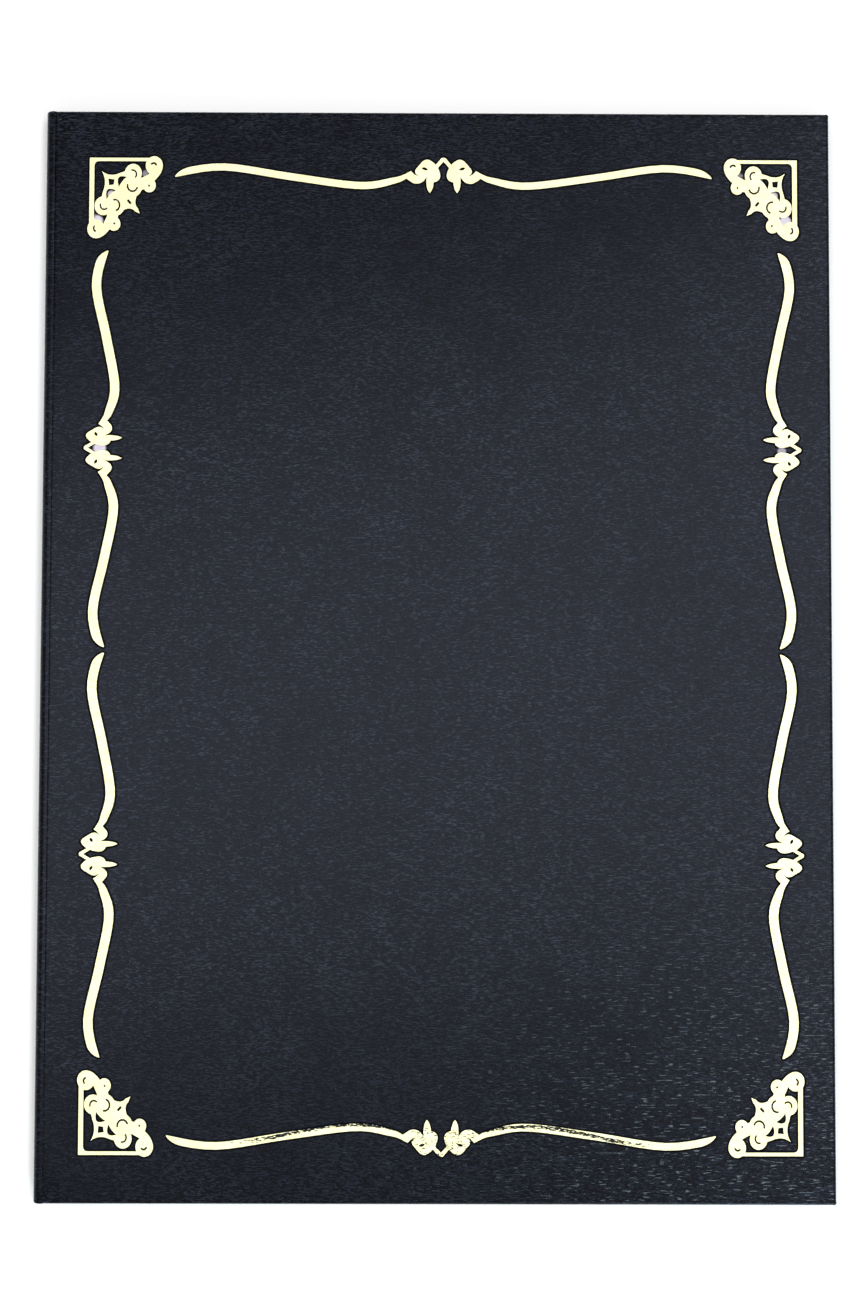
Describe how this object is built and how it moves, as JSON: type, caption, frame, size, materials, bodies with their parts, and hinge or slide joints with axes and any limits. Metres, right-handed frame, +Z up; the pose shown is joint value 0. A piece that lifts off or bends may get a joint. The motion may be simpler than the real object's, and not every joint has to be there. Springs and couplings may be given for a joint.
{
  "type": "certificate holder",
  "caption": "Book-type holder for an A4 certificate: leatherette-covered boards that open flat on a folded spine, with a gold scroll border and ribbon corners inside.",
  "frame": {"origin": "middle of the closed holder on the outer face of its back cover", "axes": "+Z up through the closed covers to the front face, +X from the spine to the opening edge, +Y to the head"},
  "size_m": [0.225, 0.31, 0.0067],
  "materials": {
    "leatherette": "embossed leather grain, satin",
    "grey_board": "raw",
    "lining_paper": "moire embossed, satin",
    "clear_sheet": "clear gloss",
    "satin_ribbon": "woven satin",
    "gold_foil": "hot stamped, bright"
  },
  "bodies": {
    "back_cover": {"back_leatherette": "leatherette", "back_board": "grey_board", "back_lining": "lining_paper", "clear_sheet": "clear_sheet", "ribbon_head_spine": "satin_ribbon", "ribbon_head_fore": "satin_ribbon", "ribbon_tail_spine": "satin_ribbon", "ribbon_tail_fore": "satin_ribbon"},
    "spine": {"spine_leatherette": "leatherette", "spine_lining": "lining_paper"},
    "front_cover": {"front_leatherette": "leatherette", "front_board": "grey_board", "front_lining": "lining_paper", "foil_corner_head_spine": "gold_foil", "foil_corner_head_fore": "gold_foil", "foil_corner_tail_spine": "gold_foil", "foil_corner_tail_fore": "gold_foil", "foil_swag_head": "gold_foil", "foil_swag_tail": "gold_foil", "foil_swag_spine_upper": "gold_foil", "foil_swag_spine_lower": "gold_foil", "foil_swag_fore_upper": "gold_foil", "foil_swag_fore_lower": "gold_foil"}
  },
  "joints": [
    {"name": "back_fold", "type": "hinge", "parent": "back_cover", "child": "spine", "pos_m": [-0.11186, 0, 0.00064], "axis": [0, -1, 0], "range_deg": [0, 90]},
    {"name": "front_fold", "type": "hinge", "parent": "spine", "child": "front_cover", "pos_m": [-0.11186, 0, 0.00606], "axis": [0, -1, 0], "range_deg": [0, 90]}
  ],
  "couplings": [
    {"joint": "front_fold", "follows": "back_fold", "ratio": 1}
  ]
}
